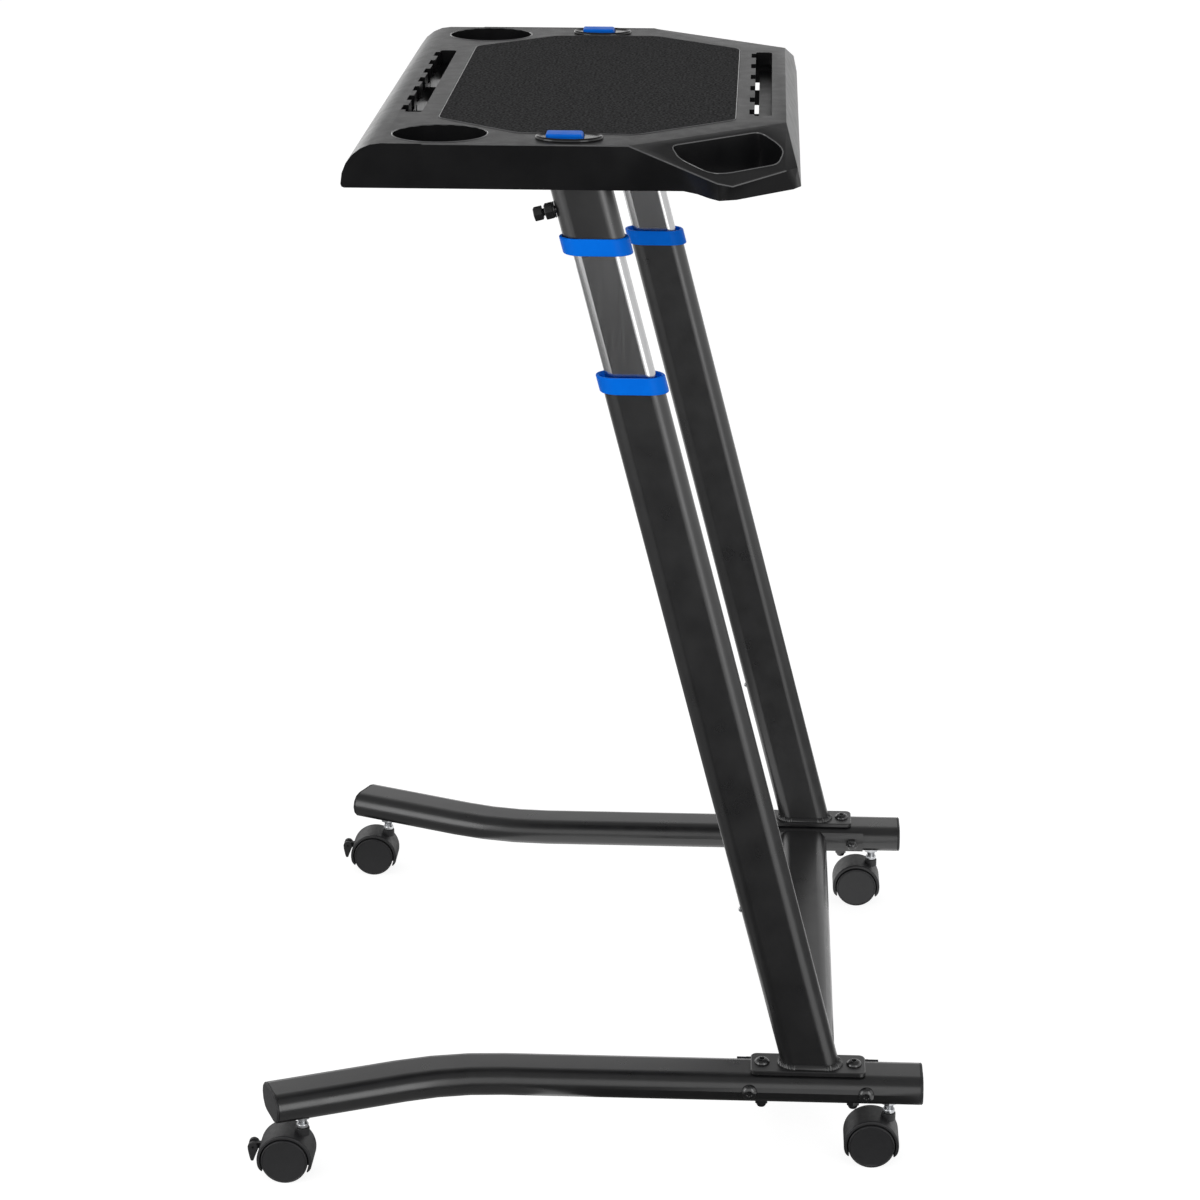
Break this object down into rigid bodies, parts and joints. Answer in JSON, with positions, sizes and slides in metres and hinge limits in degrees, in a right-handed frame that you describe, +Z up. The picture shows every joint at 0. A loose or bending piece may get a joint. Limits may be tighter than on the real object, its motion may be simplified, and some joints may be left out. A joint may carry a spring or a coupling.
{
  "type": "bike trainer desk",
  "caption": "Rolling height-adjustable desk that straddles an indoor bike trainer: moulded top with handles, cup wells and tablet slots on two raked telescopic posts.",
  "frame": {"origin": "centre of the part's bounding box on the floor that the caster wheels stand on", "axes": "+X to the rider's right when facing +Y, +Y away from the rider, +Z up"},
  "size_m": [0.9016, 0.7162, 1.108],
  "materials": {
    "frame_paint": "satin black powder coat",
    "black_plastic": "fine-textured moulded plastic",
    "blue_plastic": "smooth satin",
    "bright_tube": "bright zinc-plated tube",
    "zinc": "zinc plated",
    "black_bolt": "glossy black",
    "top_plastic": "fine-grained satin",
    "mat_foam": "speckled matt foam",
    "bezel_plastic": "gloss black"
  },
  "bodies": {
    "base": {"leg_R": "frame_paint", "leg_L": "frame_paint", "leg_cap_front_R": "black_plastic", "leg_cap_front_L": "black_plastic", "leg_cap_rear_R": "black_plastic", "leg_cap_rear_L": "black_plastic", "crossbar": "frame_paint", "lower_post_R": "frame_paint", "lower_post_L": "frame_paint", "lower_collar_R": "blue_plastic", "lower_collar_L": "blue_plastic", "stop_screw_R": "zinc", "stop_screw_L": "zinc", "flange_bolt_front_R": "black_bolt", "flange_bolt_front_L": "black_bolt", "flange_bolt_rear_R": "black_bolt", "flange_bolt_rear_L": "black_bolt", "crossbar_bolt_front_R": "black_bolt", "crossbar_bolt_front_L": "black_bolt", "crossbar_bolt_rear_R": "black_bolt", "crossbar_bolt_rear_L": "black_bolt", "caster_stem_front_R": "zinc", "caster_stem_front_L": "zinc", "caster_stem_rear_R": "zinc", "caster_stem_rear_L": "zinc"},
    "desk": {"desktop": "top_plastic", "mat": "mat_foam", "upper_sleeve_R": "frame_paint", "upper_sleeve_L": "frame_paint", "upper_collar_R": "blue_plastic", "upper_collar_L": "blue_plastic", "inner_tube_R": "bright_tube", "inner_tube_L": "bright_tube", "clamp_bolt_R": "black_bolt", "clamp_bolt_L": "black_bolt", "button_bezel_R": "bezel_plastic", "button_bezel_L": "bezel_plastic", "button_spring_R": "zinc", "button_spring_L": "zinc"},
    "button_R": {"release_button_R": "blue_plastic", "release_rod_R": "zinc"},
    "button_L": {"release_button_L": "blue_plastic", "release_rod_L": "zinc"},
    "shoe_R": {"lock_shoe_R": "black_plastic"},
    "shoe_L": {"lock_shoe_L": "black_plastic"},
    "caster_front_R": {"caster_hood_front_R": "black_plastic"},
    "caster_front_L": {"caster_hood_front_L": "black_plastic"},
    "caster_rear_R": {"caster_hood_rear_R": "black_plastic"},
    "caster_rear_L": {"caster_hood_rear_L": "black_plastic"},
    "wheel_front_outer_R": {"wheel_front_outer_R": "black_plastic"},
    "wheel_front_inner_R": {"wheel_front_inner_R": "black_plastic"},
    "wheel_front_outer_L": {"wheel_front_outer_L": "black_plastic"},
    "wheel_front_inner_L": {"wheel_front_inner_L": "black_plastic"},
    "wheel_rear_outer_R": {"wheel_rear_outer_R": "black_plastic"},
    "wheel_rear_inner_R": {"wheel_rear_inner_R": "black_plastic"},
    "wheel_rear_outer_L": {"wheel_rear_outer_L": "black_plastic"},
    "wheel_rear_inner_L": {"wheel_rear_inner_L": "black_plastic"},
    "brake_lever_R": {"brake_lever_R": "black_plastic"},
    "brake_lever_L": {"brake_lever_L": "black_plastic"}
  },
  "joints": [
    {"name": "height_slide", "type": "slide", "parent": "base", "child": "desk", "axis": [0, -0.2504, 0.9681], "range_m": [-0.125, 0.15]},
    {"name": "button_press_R", "type": "slide", "parent": "desk", "child": "button_R", "axis": [0, 0.2504, -0.9681], "range_m": [0, 0.006], "stiffness_N_per_m": 1500, "springref_m": -0.003, "deforming": ["button_spring_R"]},
    {"name": "button_press_L", "type": "slide", "parent": "desk", "child": "button_L", "axis": [0, 0.2504, -0.9681], "range_m": [0, 0.006], "stiffness_N_per_m": 1500, "springref_m": -0.003, "deforming": ["button_spring_L"]},
    {"name": "shoe_draw_R", "type": "slide", "parent": "desk", "child": "shoe_R", "axis": [0, 1, 0], "range_m": [0, 0.003]},
    {"name": "shoe_draw_L", "type": "slide", "parent": "desk", "child": "shoe_L", "axis": [0, 1, 0], "range_m": [0, 0.003]},
    {"name": "caster_swivel_front_R", "type": "hinge", "parent": "base", "child": "caster_front_R", "pos_m": [0.40974, -0.2995, 0.05], "axis": [0, 0, 1], "continuous": true},
    {"name": "caster_swivel_front_L", "type": "hinge", "parent": "base", "child": "caster_front_L", "pos_m": [-0.40974, -0.2995, 0.05], "axis": [0, 0, 1], "continuous": true},
    {"name": "caster_swivel_rear_R", "type": "hinge", "parent": "base", "child": "caster_rear_R", "pos_m": [0.344, 0.32317, 0.05], "axis": [0, 0, 1], "continuous": true},
    {"name": "caster_swivel_rear_L", "type": "hinge", "parent": "base", "child": "caster_rear_L", "pos_m": [-0.344, 0.32317, 0.05], "axis": [0, 0, 1], "continuous": true},
    {"name": "wheel_spin_front_outer_R", "type": "hinge", "parent": "caster_front_R", "child": "wheel_front_outer_R", "pos_m": [0.42254, -0.3175, 0.025], "axis": [1, 0, 0], "continuous": true},
    {"name": "wheel_spin_front_inner_R", "type": "hinge", "parent": "caster_front_R", "child": "wheel_front_inner_R", "pos_m": [0.39694, -0.3175, 0.025], "axis": [1, 0, 0], "continuous": true},
    {"name": "wheel_spin_front_outer_L", "type": "hinge", "parent": "caster_front_L", "child": "wheel_front_outer_L", "pos_m": [-0.42254, -0.3175, 0.025], "axis": [1, 0, 0], "continuous": true},
    {"name": "wheel_spin_front_inner_L", "type": "hinge", "parent": "caster_front_L", "child": "wheel_front_inner_L", "pos_m": [-0.39694, -0.3175, 0.025], "axis": [1, 0, 0], "continuous": true},
    {"name": "wheel_spin_rear_outer_R", "type": "hinge", "parent": "caster_rear_R", "child": "wheel_rear_outer_R", "pos_m": [0.3568, 0.30517, 0.025], "axis": [1, 0, 0], "continuous": true},
    {"name": "wheel_spin_rear_inner_R", "type": "hinge", "parent": "caster_rear_R", "child": "wheel_rear_inner_R", "pos_m": [0.3312, 0.30517, 0.025], "axis": [1, 0, 0], "continuous": true},
    {"name": "wheel_spin_rear_outer_L", "type": "hinge", "parent": "caster_rear_L", "child": "wheel_rear_outer_L", "pos_m": [-0.3568, 0.30517, 0.025], "axis": [1, 0, 0], "continuous": true},
    {"name": "wheel_spin_rear_inner_L", "type": "hinge", "parent": "caster_rear_L", "child": "wheel_rear_inner_L", "pos_m": [-0.3312, 0.30517, 0.025], "axis": [1, 0, 0], "continuous": true},
    {"name": "brake_lever_pivot_R", "type": "hinge", "parent": "caster_front_R", "child": "brake_lever_R", "pos_m": [0.40974, -0.3525, 0.034], "axis": [1, 0, 0], "range_deg": [-40, 0]},
    {"name": "brake_lever_pivot_L", "type": "hinge", "parent": "caster_front_L", "child": "brake_lever_L", "pos_m": [-0.40974, -0.3525, 0.034], "axis": [1, 0, 0], "range_deg": [-40, 0]}
  ],
  "couplings": [
    {"joint": "shoe_draw_R", "follows": "button_press_R", "ratio": 0.5},
    {"joint": "shoe_draw_L", "follows": "button_press_L", "ratio": 0.5}
  ]
}
